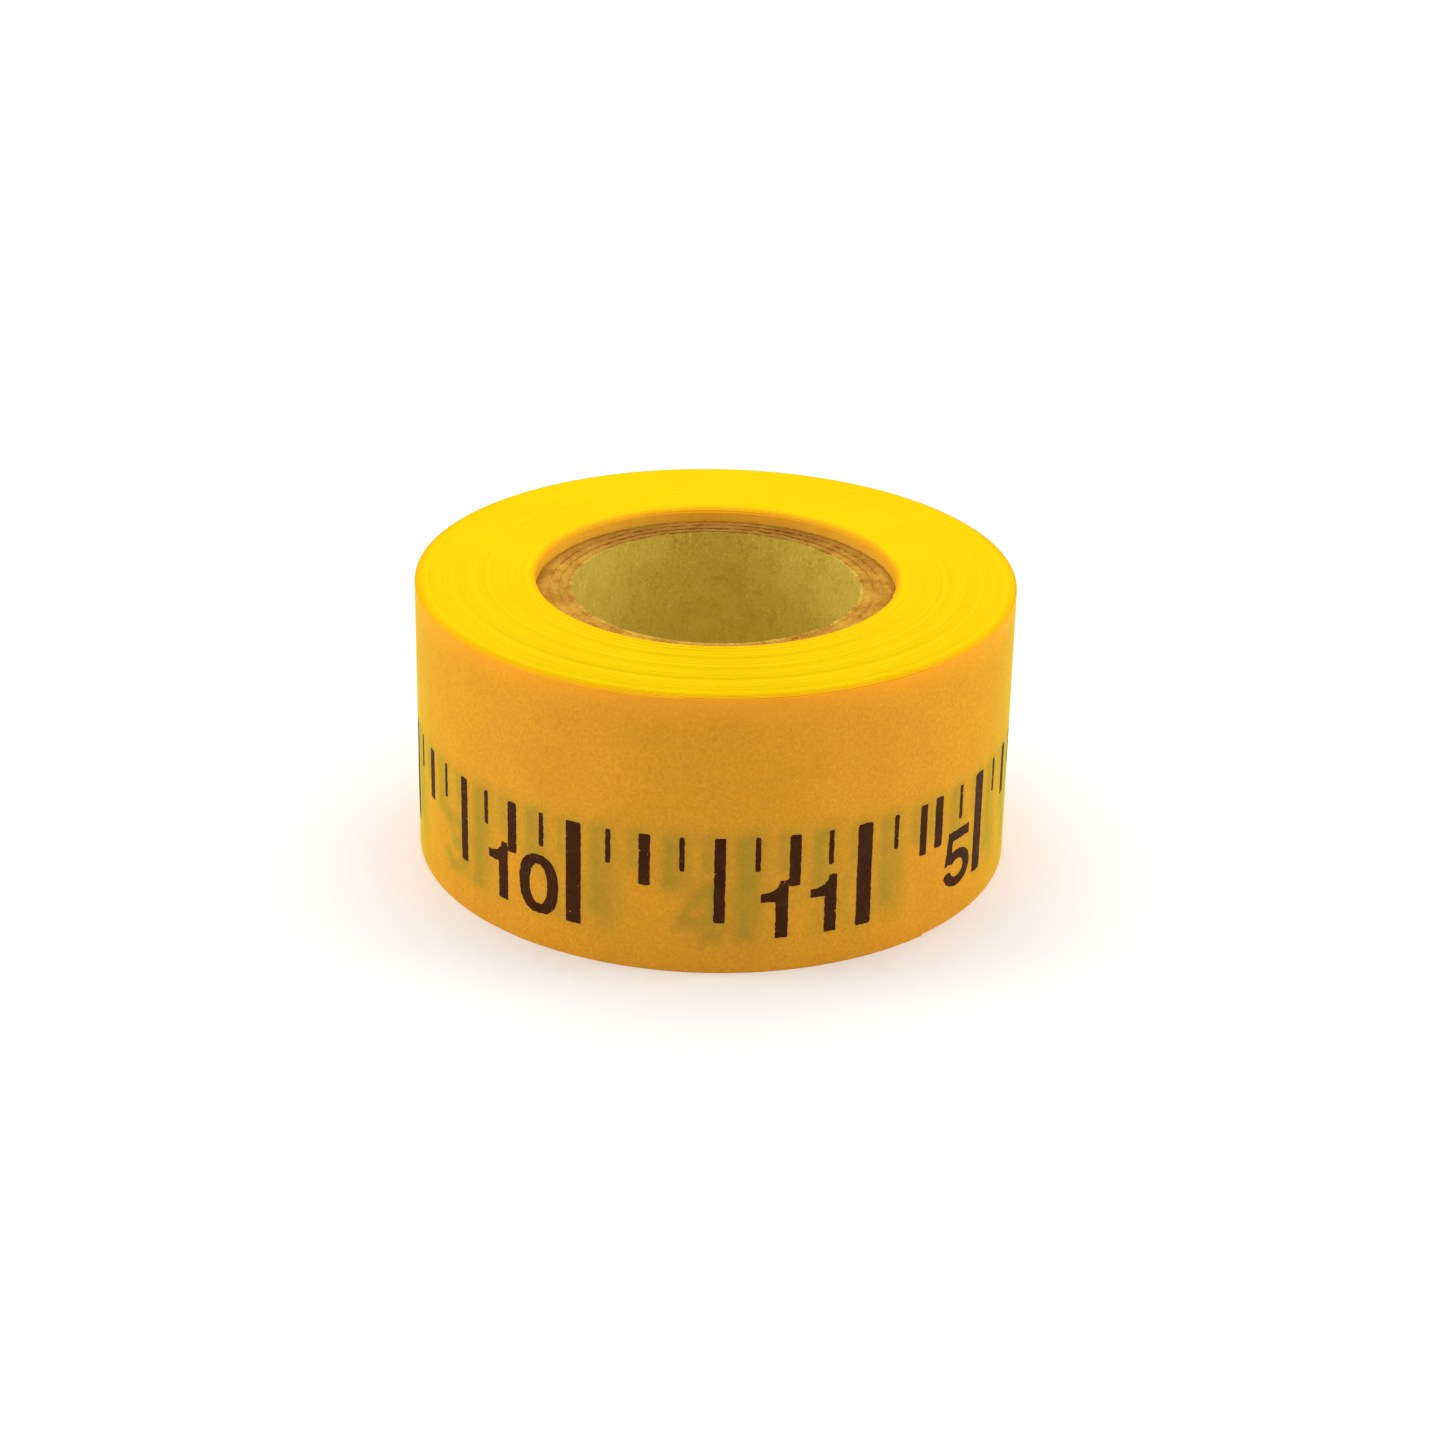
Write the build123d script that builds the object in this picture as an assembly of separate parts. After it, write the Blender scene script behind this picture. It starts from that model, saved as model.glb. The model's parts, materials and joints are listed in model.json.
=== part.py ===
from build123d import *
import os
from math import ceil, cos, degrees, pi, radians, sin

# Roll of self-adhesive ruler tape on a paperboard core, standing on the tape's lower edge.
# Origin: centre of the bottom face.  +Z runs up the core's axis, -Y is the front of the roll.
# Angles are in degrees from the front, growing towards +X, the way the tape is wound outwards.

# Driving dimensions, in millimetres unless a name says otherwise
INCH = 25.4
tape_width = 1.0 * INCH
roll_radius = 26.6              # over the print of the last turn, at the free end
core_bore_radius = 0.5 * INCH
core_wall = INCH / 8
core_top_recess = 1.2           # how far the core ends below the tape's upper edge
core_bottom_recess = 0.4
liner_thickness = 0.35          # inner and outer facing plies of the core
body_ply_count = 3
glue_line = 0.02                # radial space between neighbouring plies

film_thickness = 0.09
adhesive_thickness = 0.025
turn_pitch = 0.165              # growth of the roll's radius in one turn
ink_thickness = 0.015

ten_mark_angle = -25.7          # where the ten-inch mark stands
end_mark = 11.262               # reading, in inches, at which the tape is cut
peel_mark = 10.4375             # reading at which the lifted end starts
tail_pitch = 0.125              # inches of tape in one segment of the lifted end
tail_count = 6
hinge_slit = 0.05               # width of the cut between neighbouring segments
arc_span = 15.0                 # longest single arc of the wound spiral, in degrees

# Print: marks hang down from the tape's centre line, numbers stand on the inch marks' foot
mark_top = tape_width / 2
inch_mark = (1.40, 3 * INCH / 8)        # width, length
half_mark = (1.00, 5 * INCH / 16)
quarter_mark = (1.00, 3 * INCH / 16)
eighth_mark = (0.50, INCH / 8)
digit_height = 5.4
digit_width = 4.1
digit_stroke = 1.08
digit_advance = 4.3
digit_offset = 3.5              # last digit's centre, back from its inch mark
first_inch = 3                  # print from this inch mark to the last is on the turns that can be seen
last_inch = 11

film_radius = roll_radius - ink_thickness
degrees_per_inch = 360 * INCH / (2 * pi * roll_radius)
core_radius = core_bore_radius + core_wall


def angle_of(reading):
    """Angle at which a reading, in inches, lies on the last turn."""
    return ten_mark_angle + (reading - 10) * degrees_per_inch


end_angle = angle_of(end_mark)
peel_angle = angle_of(peel_mark)
start_angle = end_angle - 360
slit_angle = degrees(hinge_slit / roll_radius)


def on_roll(radius, angle, z=0.0):
    """Point at a radius and an angle about the roll's axis."""
    return Vector(radius * sin(radians(angle)), -radius * cos(radians(angle)), z)


def wound_radius(angle, depth):
    """Radius of the wound spiral at an angle, at a depth below the last turn's surface."""
    return film_radius - turn_pitch * (end_angle - angle) / 360 - depth


def wound_arcs(start, stop, depth):
    """Arcs end to end along the spiral between two angles."""
    count = ceil((stop - start) / arc_span)
    step = (stop - start) / count
    arcs = []
    for index in range(count):
        angles = [start + step * (index + part) for part in (0, 0.5, 1)]
        arcs.append(ThreePointArc(*[on_roll(wound_radius(a, depth), a) for a in angles]))
    return arcs


def strip(start, stop, top_depth, bottom_depth, low=0.0, high=tape_width):
    """Solid layer of the wound tape between two angles, two depths and two heights."""
    outer = wound_arcs(start, stop, top_depth)
    inner = wound_arcs(start, stop, bottom_depth)
    ends = [Line(outer[0] @ 0, inner[0] @ 0), Line(outer[-1] @ 1, inner[-1] @ 1)]
    face = make_face(outer + ends + inner)
    return extrude(Pos(0, 0, low) * face, high - low, dir=(0, 0, 1))


def tube(inner_radius, outer_radius, low, high):
    """Plain tube about the roll's axis."""
    height = high - low
    body = Cylinder(outer_radius, height) - Cylinder(inner_radius, height)
    return Pos(0, 0, low + height / 2) * body


# ---- Digits, each centred on its own origin, with bars a little thinner than stems ----

half_height = digit_height / 2
half_width = digit_width / 2
digit_bar = 0.95


def bowl(width, height, centre_y=0.0):
    """Closed loop of a digit, with fully rounded ends."""
    inner_width = width - 2 * digit_stroke
    inner_height = height - 2 * digit_stroke
    outline = RectangleRounded(width, height, 0.49 * min(width, height))
    counter = RectangleRounded(inner_width, inner_height, 0.49 * min(inner_width, inner_height))
    return Pos(0, centre_y) * (outline - counter)


def block(left, bottom, right, top):
    """Rectangle between two corners."""
    return Pos((left + right) / 2, (bottom + top) / 2) * Rectangle(right - left, top - bottom)


def polygon(*corners):
    """Face inside straight lines between corners."""
    return make_face(Polyline(*corners, close=True))


def digit_one():
    stem_right = 0.92
    stem_left = stem_right - digit_stroke
    flag_left = stem_left - 1.27
    flag_top = half_height - 0.22 * digit_height
    flag_bottom = half_height - 0.37 * digit_height
    flag = polygon((flag_left, flag_bottom), (stem_left, flag_bottom), (stem_right, half_height),
                   (stem_left + 0.3, half_height), (stem_left - 0.3, flag_top), (flag_left, flag_top))
    return block(stem_left, -half_height, stem_right, half_height) + flag


def digit_four():
    stem_left = 0.35
    bar_bottom = 1.2 - half_height
    bar_top = bar_bottom + digit_bar
    outside = polygon((-half_width, bar_bottom), (stem_left, bar_bottom), (stem_left, half_height),
                      (-half_width, bar_top))
    counter = polygon((-half_width + 1.0, bar_top), (stem_left, bar_top),
                      (stem_left, half_height - 1.6))
    stem = block(stem_left, -half_height, stem_left + digit_stroke, half_height)
    return outside - counter + stem + block(-half_width, bar_bottom, half_width, bar_top)


def digit_five():
    left = 0.15 - half_width
    loop_height = 3.6
    loop_top = loop_height - half_height
    loop = bowl(digit_width, loop_height, loop_top - loop_height / 2)
    gap = block(-half_width, 1.5 - half_height, -0.4, loop_top - digit_stroke)
    top_bar = block(left, half_height - digit_bar, half_width - 0.3, half_height)
    stem = block(left, loop_top - digit_bar, left + digit_bar, half_height)
    return loop - gap + top_bar + stem


def digit_six():
    loop_height = 3.5
    loop_top = loop_height - half_height
    gap = block(0, loop_top - digit_bar, half_width, half_height - 1.5)
    return bowl(digit_width, digit_height) - gap + bowl(digit_width, loop_height,
                                                        loop_top - loop_height / 2)


def digit_seven():
    bar_bottom = half_height - digit_bar
    leg = polygon((-1.0, -half_height), (0.15, -half_height), (half_width, bar_bottom),
                  (0.8, bar_bottom))
    return block(-half_width, bar_bottom, half_width, half_height) + leg


def digit_eight():
    lower_height = 3.2
    upper_height = digit_height - lower_height + digit_stroke
    lower = bowl(digit_width, lower_height, lower_height / 2 - half_height)
    upper = bowl(digit_width - 0.3, upper_height, half_height - upper_height / 2)
    return lower + upper


digit_shapes = {
    "0": bowl(digit_width, digit_height),
    "1": digit_one(),
    "4": digit_four(),
    "5": digit_five(),
    "6": digit_six(),
    "7": digit_seven(),
    "8": digit_eight(),
    "9": Rot(0, 0, 180) * digit_six(),
}


# ---- Print on the tape, as thin solids on the film ----

def mark_size(eighths):
    """Width and length of the mark that stands at a number of eighths of an inch."""
    if eighths % 8 == 0:
        return inch_mark
    if eighths % 4 == 0:
        return half_mark
    return quarter_mark if eighths % 2 == 0 else eighth_mark


def marks(start, stop, depth, turn=0.0):
    """Scale marks between two angles, on the surface at a depth, a turn further back if stated."""
    solids = []
    for eighths in range(8 * first_inch, 8 * last_inch + 8):
        width, length = mark_size(eighths)
        centre = angle_of(eighths / 8) + turn
        half = degrees(width / 2 / roll_radius)
        low_angle = max(centre - half, start)
        high_angle = min(centre + half, stop)
        if high_angle - low_angle > slit_angle:
            solids.append(strip(low_angle, high_angle, depth - ink_thickness, depth,
                                mark_top - length, mark_top))
    return solids


def digit_faces(turn=0.0):
    """Every printed digit with the angle that its middle lies at."""
    placed = []
    for number in range(first_inch + 1, last_inch + 1):
        for back, character in enumerate(reversed(str(number))):
            distance = digit_offset + back * digit_advance
            placed.append((angle_of(number) + turn - degrees(distance / roll_radius),
                           digit_shapes[character]))
    return placed


def numbers(start, stop, depth, turn=0.0):
    """Printed digits, or the parts of them, that lie between two angles."""
    half = degrees(digit_width / 2 / roll_radius) + slit_angle
    middle_z = mark_top - inch_mark[1] + digit_height / 2
    solids = []
    for centre, face in digit_faces(turn):
        low_angle = max(centre - half, start)
        high_angle = min(centre + half, stop)
        if high_angle - low_angle < slit_angle:
            continue
        outward = on_roll(1, centre)
        tangent = Plane(origin=on_roll(wound_radius(centre, depth), centre, middle_z),
                        x_dir=on_roll(1, centre + 90), z_dir=outward)
        punch = extrude(tangent * face, 1, both=True)
        printed = punch & strip(low_angle, high_angle, depth - ink_thickness, depth)
        solids.extend(printed.solids())
    return solids


def core():
    """Spirally wound paperboard tube: two facing plies with the body plies between them."""
    low = core_bottom_recess
    high = tape_width - core_top_recess
    body_ply = (core_wall - 2 * liner_thickness) / body_ply_count
    plies = [("core_inner_liner", liner_thickness)]
    plies += [(f"core_ply_{index + 1}", body_ply) for index in range(body_ply_count)]
    plies.append(("core_outer_liner", liner_thickness))
    nodes = {}
    radius = core_bore_radius
    for name, thickness in plies:
        nodes[name] = tube(radius, radius + thickness - glue_line, low, high)
        radius += thickness
    return nodes


def wound_turns():
    """All turns below the last one, with the step where the last turn starts."""
    outline = wound_arcs(start_angle, end_angle, turn_pitch)
    step = Line(outline[-1] @ 1, outline[0] @ 0)
    blank = extrude(make_face(outline + [step]), tape_width, dir=(0, 0, 1))
    return {"wound_turns": blank - Pos(0, 0, tape_width / 2) * Cylinder(core_radius, 2 * tape_width)}


def last_turn():
    """The turn that still sticks down, from the step to where the lifted end starts."""
    stop = peel_angle - slit_angle
    return {
        "last_turn_film": strip(start_angle, stop, 0, film_thickness),
        "last_turn_adhesive": strip(start_angle, stop, film_thickness, turn_pitch),
        "last_turn_marks": Compound(marks(start_angle, stop, 0)),
        "last_turn_numbers": Compound(numbers(start_angle, stop, 0)),
    }


def print_under_tail():
    """Print on the turn below, bared when the end is lifted."""
    low, high = peel_angle, end_angle - slit_angle
    return {
        "under_tail_marks": Compound(marks(low, high, turn_pitch, turn=360)),
        "under_tail_numbers": Compound(numbers(low, high, turn_pitch, turn=360)),
    }


def tail():
    """Free end, in short segments that open about upright lines on the film's outer face."""
    nodes = {}
    for index in range(tail_count):
        start = angle_of(peel_mark + index * tail_pitch)
        last = index == tail_count - 1
        stop = end_angle if last else angle_of(peel_mark + (index + 1) * tail_pitch) - slit_angle
        number = index + 1
        nodes[f"tail_film_{number}"] = strip(start, stop, 0, film_thickness)
        nodes[f"tail_adhesive_{number}"] = strip(start, stop, film_thickness,
                                                 film_thickness + adhesive_thickness)
        nodes[f"tail_print_{number}"] = Compound(marks(start, stop, 0) + numbers(start, stop, 0))
        hinge = on_roll(roll_radius, start - slit_angle / 2, tape_width / 2)
        print(f"peel_{number} at {hinge.X / 1000:.6f}, {hinge.Y / 1000:.6f}, {hinge.Z / 1000:.6f}")
    return nodes


os.makedirs("parts", exist_ok=True)
for group in (core(), wound_turns(), last_turn(), print_under_tail(), tail()):
    for name, shape in group.items():
        export_step(shape, f"parts/{name}.step")
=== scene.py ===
"""Looks of a roll of adhesive ruler tape: film, print, adhesive, core, and the free end that peels."""
import json
import math

import bpy
import numpy as np
from mathutils import Matrix, Vector


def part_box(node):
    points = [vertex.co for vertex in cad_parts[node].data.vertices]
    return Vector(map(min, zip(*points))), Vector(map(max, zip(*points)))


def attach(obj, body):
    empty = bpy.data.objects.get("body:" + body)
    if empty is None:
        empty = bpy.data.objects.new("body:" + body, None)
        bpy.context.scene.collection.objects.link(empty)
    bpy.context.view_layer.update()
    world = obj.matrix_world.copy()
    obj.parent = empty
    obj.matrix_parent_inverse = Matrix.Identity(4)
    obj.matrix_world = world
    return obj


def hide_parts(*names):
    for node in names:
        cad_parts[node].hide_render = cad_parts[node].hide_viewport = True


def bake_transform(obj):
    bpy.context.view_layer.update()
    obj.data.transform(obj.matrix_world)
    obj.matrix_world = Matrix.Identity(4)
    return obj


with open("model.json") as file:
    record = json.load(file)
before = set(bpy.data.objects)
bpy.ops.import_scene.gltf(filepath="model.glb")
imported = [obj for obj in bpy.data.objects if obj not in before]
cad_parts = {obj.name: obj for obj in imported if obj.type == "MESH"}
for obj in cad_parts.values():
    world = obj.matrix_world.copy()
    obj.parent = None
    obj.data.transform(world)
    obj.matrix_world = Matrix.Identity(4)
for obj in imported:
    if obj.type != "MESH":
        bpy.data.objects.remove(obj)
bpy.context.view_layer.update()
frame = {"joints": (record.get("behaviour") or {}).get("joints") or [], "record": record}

# ---------------------------------------------------------------- sizes, in millimetres and degrees
MM = 0.001
INCH = 25.4
TAPE_LOW, TAPE_HIGH = (corner.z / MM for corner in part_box("wound_turns"))
HINGES = [Vector(joint["pos_m"]) / MM for joint in frame["joints"]]
HINGE_ANGLES = [math.degrees(math.atan2(p.x, -p.y)) for p in HINGES]
ROLL_RADIUS = math.hypot(HINGES[0].x, HINGES[0].y)
CORE_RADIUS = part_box("core_outer_liner")[1].x / MM

PEEL_MARK = 10.4375          # reading at the first hinge, in inches
END_MARK = 11.262            # reading at the cut end
FILM = 0.09                  # thicknesses of the layers
ADHESIVE = 0.025
TURN_PITCH = 0.165           # radius gained in one turn
INK = 0.015
FILM_RADIUS = ROLL_RADIUS - INK
DEGREES_PER_INCH = 360 * INCH / (2 * math.pi * ROLL_RADIUS)
TURN_LENGTH = 360 / DEGREES_PER_INCH * INCH
TAIL_PITCH = INCH / 8        # length of tape from one hinge to the next

END_X = END_MARK * INCH
PEEL_X = PEEL_MARK * INCH
TURN_START_X = END_X - TURN_LENGTH
CORE_CLEARANCE = 0.02        # between the core and the innermost turn
FIRST_X = END_X - (FILM_RADIUS - TURN_PITCH - CORE_RADIUS - CORE_CLEARANCE) / TURN_PITCH * TURN_LENGTH
UNDER_MARGIN = 4.0           # how far the print of the turn below reaches in under the last turn

# Print: marks hang from the tape's centre line, digits stand on the foot of the inch marks
MARK_TOP = (TAPE_LOW + TAPE_HIGH) / 2
INCH_MARK = (1.42, 3 * INCH / 8)
HALF_MARK = (0.95, 5 * INCH / 16)
QUARTER_MARK = (0.98, 3 * INCH / 16)
EIGHTH_MARK = (0.45, INCH / 8)
MARK_CORNER = 0.16
BASELINE = MARK_TOP - INCH_MARK[1]
DIGIT_HEIGHT = 5.4
DIGIT_OFFSET = 3.5           # last digit's middle, back from its inch mark
DIGIT_ADVANCE = 4.3
LEVEL_SQUEEZE = 1.16         # a digit's stroke is this much thinner where it runs level
PRINT_CELL = 0.10            # mesh size of the print
PRINT_MARGIN = 0.35          # how far the print's mesh reaches above and below the print
FAR = 9.0                    # distance to the ink's edge wherever there is no print near

# Meshes of the layers: how far apart their points are, and where their rows lie
FILM_STEP = 0.20             # along the film's face, and up it in the print's band
GLUE_STEP = 0.4              # along the adhesive's hidden face
EDGE_ROW = 0.06              # from a slit edge to the row beside it
BAND_MARGIN = 0.6            # how far the band of close rows reaches above and below the print
PLAIN_MARGIN = 0.25          # from a slit edge to the nearest of the wide rows
ROWS_BELOW, ROWS_ABOVE = 6, 16
GLUE_ROW = 4.0               # from a slit edge to the adhesive's row inside it
EDGE_ROUNDING = 0.02         # how far a film's slit edge falls back from its face

# Shoulders: how far the turns step down at the rim and at the core, and over how many turns
RIM_DROP, RIM_TURNS = 0.16, 1.7
FRONT_DROP, FRONT_TURNS = 0.10, 0.7    # at the core, on the roll's front
BACK_DROP, BACK_TURNS = 0.52, 2.4      # at the core, on the roll's back

CORE_PAINTED_SHADE, RIM_PAINTED_SHADE = 0.5, 0.9   # how far the turns' edges carry painted shade, more orange, beside the core and the rim
PAINTED_TOP_HIGHLIGHT = 4.0              # how far below its upper edge the film has a painted highlight
RIM_SHADE = (14.8, 16.2)     # radii between which painted shade darkens the core's end outwards, under the tape
PAINTED_BACK_SHADOW = (4.0, 13.0)          # distances behind the axis between which a painted shadow darkens the core's end

# Shade of print under the film: how strong it is, and how wide its edge is blurred
HALO = (0.20, 1.3)           # the film's own print
FIRST_GHOST = (0.72, 1.8)    # print of the turn below
SECOND_GHOST = (0.45, 3.0)   # print of the turn below that
THIRD_GHOST = (0.42, 5.0)    # and of the one below that
FROM_BEHIND = (0.65, 0.5)    # the film's own print, seen through it from the adhesive's side

# Ink: how far its edge wanders, coarsely and finely, with the sizes of both wanders, and its pinholes
COARSE_WANDER = (0.034, 0.24)
FINE_WANDER = (0.026, 0.12)
PINHOLE_SIZE = 0.17
PINHOLE_LEVEL = 0.87         # the noise has to pass this for a pinhole
INK_SINK = 0.003             # how far ink reaches into the film below it

# Core: meshes of its plies, their rough ends, and the seam that winds up the bore
PLY_COLUMNS = 360
PLY_STEP = 0.12              # mesh size across a ply's end
PLY_GAP = 0.01               # between one ply and the next
PLY_CLOSING = 10             # degrees on each side of the front over which a ply's roughness fades out
FACING_ROUGH, PLY_ROUGH = 0.10, 0.14
OUTER_FACING_DROP = 0.08     # how far the core's outer facing ends below its plies
SEAM_ROWS = 48
SEAM_ANGLE = 38              # degrees by which the seam climbs
SEAM_DEPTH, SEAM_WIDTH = 0.05, 0.22

# Wound turns
TURN_COLUMNS = 180           # points along one turn
GLUE_INSET = 0.016           # how far the adhesive stays back from the film's slit edges
FACE_INSET = 0.25            # from a slit edge to the row of the outer face beside it

SEED = 11
LATTICE = np.random.RandomState(SEED).rand(64, 64) * 2 - 1


def angle_of(x):
    """Angle about the roll, in degrees from the front, at a distance x along the tape."""
    return HINGE_ANGLES[0] + (x / INCH - PEEL_MARK) * DEGREES_PER_INCH


def wound(x, z, depth):
    """Points of the wound tape: x along it, z up, depth below the film's outer face."""
    x, z, depth = np.broadcast_arrays(np.asarray(x, float), z, depth)
    angle = np.radians(angle_of(x))
    radius = FILM_RADIUS - TURN_PITCH * (END_X - x) / TURN_LENGTH - depth
    return np.stack([radius * np.sin(angle), -radius * np.cos(angle), z], axis=-1)


def grain(u, v, row=0):
    """Smooth seeded noise from -1 to 1, one step of its lattice per unit of u and v."""
    u, v = np.asarray(u, float), np.asarray(v, float) + 17.3 * row
    iu, iv = np.floor(u).astype(int), np.floor(v).astype(int)
    fu, fv = u - iu, v - iv
    fu, fv = fu * fu * (3 - 2 * fu), fv * fv * (3 - 2 * fv)
    low = LATTICE[iu % 64, iv % 64] * (1 - fu) + LATTICE[(iu + 1) % 64, iv % 64] * fu
    high = LATTICE[iu % 64, (iv + 1) % 64] * (1 - fu) + LATTICE[(iu + 1) % 64, (iv + 1) % 64] * fu
    return low * (1 - fv) + high * fv


def slit_wander(x, row):
    """Height error of a slit edge at a distance along the tape: slow wander, turn by turn."""
    turns = np.asarray(x, float) / TURN_LENGTH
    slow = 0.030 * grain(turns * 0.31, 0, row) + 0.008 * grain(turns * 1.7, 4, row)
    return slow + 0.004 * grain(turns * 11, 9, row)


def top_edge(x):
    """Height of the tape's upper edge: level, with a soft shoulder at the rim and another at the core."""
    from_rim = (END_X - np.asarray(x, float)) / TURN_LENGTH
    from_core = (np.asarray(x, float) - FIRST_X) / TURN_LENGTH
    behind = 0.5 - 0.5 * np.cos(np.radians(angle_of(x)))
    core_drop = FRONT_DROP + (BACK_DROP - FRONT_DROP) * behind
    core_turns = FRONT_TURNS + (BACK_TURNS - FRONT_TURNS) * behind
    shoulders = RIM_DROP * np.exp(-from_rim / RIM_TURNS) + core_drop * np.exp(-from_core / core_turns)
    return TAPE_HIGH + slit_wander(x, 0) - shoulders


def low_edge(x):
    """Height of the tape's lower edge, which never reaches below the surface that the roll stands on."""
    return TAPE_LOW + np.abs(slit_wander(x, 3))


# ---------------------------------------------------------------- print, as a distance to the ink's edge
def oval(x, y, cx, cy, half_width, half_height, power=2.0):
    """Ellipse, or a squarer oval where the power is above 2."""
    across, up = np.abs((x - cx) / half_width), np.abs((y - cy) / half_height)
    reach = (across ** power + up ** power) ** (1 / power)
    return (reach - 1) * min(half_width, half_height)


def box(x, y, left, bottom, right, top):
    """Upright rectangle."""
    return np.maximum.reduce([left - x, x - right, bottom - y, y - top])


def mark(x, y, middle, width, length):
    """A mark of the scale: a bar that hangs from the marks' common top, its corners a little round."""
    past_side = np.abs(x - middle) - width / 2 + MARK_CORNER
    past_end = np.abs(y - MARK_TOP + length / 2) - length / 2 + MARK_CORNER
    outside = np.hypot(np.maximum(past_side, 0), np.maximum(past_end, 0))
    return outside + np.minimum(np.maximum(past_side, past_end), 0) - MARK_CORNER


def side(x, y, start, end):
    """Distance to the right of the line from start to end; negative on its left."""
    dx, dy = end[0] - start[0], end[1] - start[1]
    return ((x - start[0]) * dy - (y - start[1]) * dx) / math.hypot(dx, dy)


def polygon(x, y, *corners):
    """Convex polygon, its corners counter-clockwise."""
    return np.maximum.reduce([side(x, y, a, b) for a, b in zip(corners, corners[1:] + corners[:1])])


def arc(cx, cy, rx, ry, start, stop, count=20):
    """Points of an elliptical arc, its angles in degrees."""
    turn = np.radians(np.linspace(start, stop, count))
    return list(zip(cx + rx * np.cos(turn), cy + ry * np.sin(turn)))


def curve(start, control, stop, count=12):
    """Points of a quadratic curve."""
    t = np.linspace(0, 1, count)[:, None]
    a, b, c = (np.array(p, float) for p in (start, control, stop))
    return [tuple(p) for p in (1 - t) ** 2 * a + 2 * t * (1 - t) * b + t ** 2 * c]


def stroke(x, y, path, width=1.08):
    """Distance to a pen stroke with square ends, thinner where it runs level."""
    best = np.full(x.shape, FAR)
    points = np.array(path) * (1, LEVEL_SQUEEZE)
    ys = y * LEVEL_SQUEEZE
    last = len(points) - 2
    for index, (a, b) in enumerate(zip(points[:-1], points[1:])):
        d = b - a
        along = ((x - a[0]) * d[0] + (ys - a[1]) * d[1]) / (d @ d)
        near = np.clip(along, 0, 1)
        gap = np.hypot(x - a[0] - near * d[0], ys - a[1] - near * d[1]) - width / 2
        length = math.hypot(*d)
        if index == 0:
            gap = np.maximum(gap, -along * length)
        if index == last:
            gap = np.maximum(gap, (along - 1) * length)
        best = np.minimum(best, gap)
    return best


# Each digit stands on y = 0 with its middle at x = 0, and is DIGIT_HEIGHT tall.
def digit_0(x, y):
    return np.maximum(oval(x, y, 0, 2.7, 2.03, 2.78, 2.4), -oval(x, y, 0, 2.7, 0.93, 1.88, 2.2))


def digit_1(x, y):
    stem = box(x, y, -0.16, 0, 0.92, DIGIT_HEIGHT)
    flag = box(x, y, -1.43, 3.42, 0.5, DIGIT_HEIGHT)
    return np.maximum(np.minimum(stem, flag), -oval(x, y, -1.43, 5.42, 1.62, 1.2, 2.2))


def digit_2(x, y):
    top = stroke(x, y, arc(0, 3.78, 1.42, 1.16, 185, -25)
                 + curve((1.22, 3.1), (0.5, 2.2), (-1.5, 0.45))[1:])
    return np.minimum(np.maximum(top, -y), box(x, y, -2.0, 0, 2.0, 0.96))


def digit_3(x, y):
    upper = stroke(x, y, arc(-0.02, 3.92, 1.25, 1.04, 165, -90))
    lower = stroke(x, y, arc(0, 1.52, 1.45, 1.1, 95, -168))
    return np.minimum.reduce([upper, lower, box(x, y, -0.6, 2.42, 0.3, 3.22)])


def digit_4(x, y):
    outside = polygon(x, y, (-2.05, 1.15), (1.4, 1.15), (1.4, 5.4), (0.3, 5.4), (-2.05, 2.15))
    counter = polygon(x, y, (-1.12, 2.05), (0.36, 2.05), (0.36, 4.15))
    shape = np.maximum(outside, -counter)
    return np.minimum.reduce([shape, box(x, y, 0.36, 0, 1.4, 5.4), box(x, y, -2.05, 1.15, 2.08, 2.05)])


def digit_5(x, y):
    bowl = stroke(x, y, arc(0.1, 1.72, 1.52, 1.3, 140, -165, 28))
    stem = polygon(x, y, (-1.75, 2.25), (-0.85, 2.45), (-0.6, 5.0), (-1.35, 5.0))
    return np.minimum.reduce([bowl, stem, box(x, y, -1.35, 4.45, 1.85, 5.4)])


def digit_6(x, y):
    bowl = stroke(x, y, arc(0.05, 1.72, 1.47, 1.28, 0, 360, 40))
    back = stroke(x, y, arc(0.0, 2.62, 1.48, 2.3, 200, 30, 28))
    return np.minimum(bowl, back)


def digit_7(x, y):
    leg = np.maximum(stroke(x, y, curve((1.75, 5.0), (-0.15, 3.0), (-0.5, -0.5))), -y)
    return np.minimum(leg, box(x, y, -2.0, 4.45, 2.05, 5.4))


def digit_8(x, y):
    upper = stroke(x, y, arc(0, 3.98, 1.27, 0.96, 0, 360, 36))
    lower = stroke(x, y, arc(0, 1.5, 1.47, 1.1, 0, 360, 36))
    return np.minimum(upper, lower)


def digit_9(x, y):
    return digit_6(-x, DIGIT_HEIGHT - y)


DIGITS = {str(n): shape for n, shape in enumerate(
    [digit_0, digit_1, digit_2, digit_3, digit_4, digit_5, digit_6, digit_7, digit_8, digit_9])}


def printed(low_x, high_x):
    """Everything printed that may reach between two places: (middle x, half width, low z, high z, shape)."""
    found = []
    first = math.floor(low_x / INCH * 8) - 1
    last = math.ceil((high_x + 2 * DIGIT_ADVANCE + 3) / INCH * 8) + 1
    for eighths in range(first, last + 1):
        x = eighths * INCH / 8
        if eighths % 8 == 0:
            width, length = INCH_MARK
            number = (eighths // 8 - 1) % 12 + 1
            for back, digit in enumerate(reversed(str(number))):
                middle = x - DIGIT_OFFSET - back * DIGIT_ADVANCE
                found.append((middle, 2.4, BASELINE - 0.2, BASELINE + 5.7,
                              lambda u, v, m=middle, d=digit: DIGITS[d](u - m, v - BASELINE)))
        elif eighths % 4 == 0:
            width, length = HALF_MARK
        elif eighths % 2 == 0:
            width, length = QUARTER_MARK
        else:
            width, length = EIGHTH_MARK
        found.append((x, width, MARK_TOP - length - 0.2, MARK_TOP + 0.2,
                      lambda u, v, m=x, w=width, n=length: mark(u, v, m, w, n)))
    return found


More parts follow.
